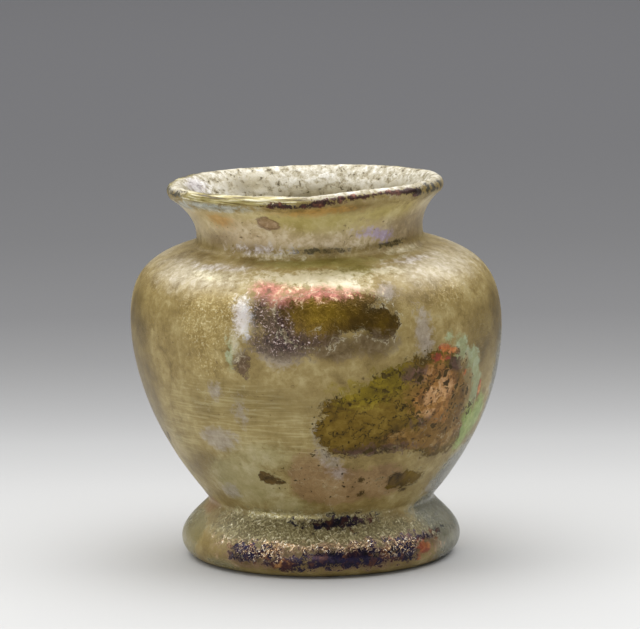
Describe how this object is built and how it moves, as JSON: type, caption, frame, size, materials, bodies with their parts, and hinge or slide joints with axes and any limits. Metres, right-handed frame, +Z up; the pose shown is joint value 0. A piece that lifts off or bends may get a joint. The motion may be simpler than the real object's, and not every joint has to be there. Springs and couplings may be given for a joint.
{
  "type": "miniature glass pot",
  "caption": "Miniature blown glass pot with a wide funnel mouth, short neck, high round shoulders and a hollow tubular foot ring.",
  "frame": {"origin": "centre of the foot ring's resting circle, on the surface the pot stands on", "axes": "+Z up along the foot's axis, -Y towards the viewer, +X to the viewer's right"},
  "size_m": [0.0448, 0.0448, 0.0464],
  "materials": {
    "weathered_glass": "translucent amber-olive blown glass under flaking pearly weathering with iridescent and brown patches"
  },
  "bodies": {
    "root": {"glass_pot": "weathered_glass"}
  },
  "joints": []
}
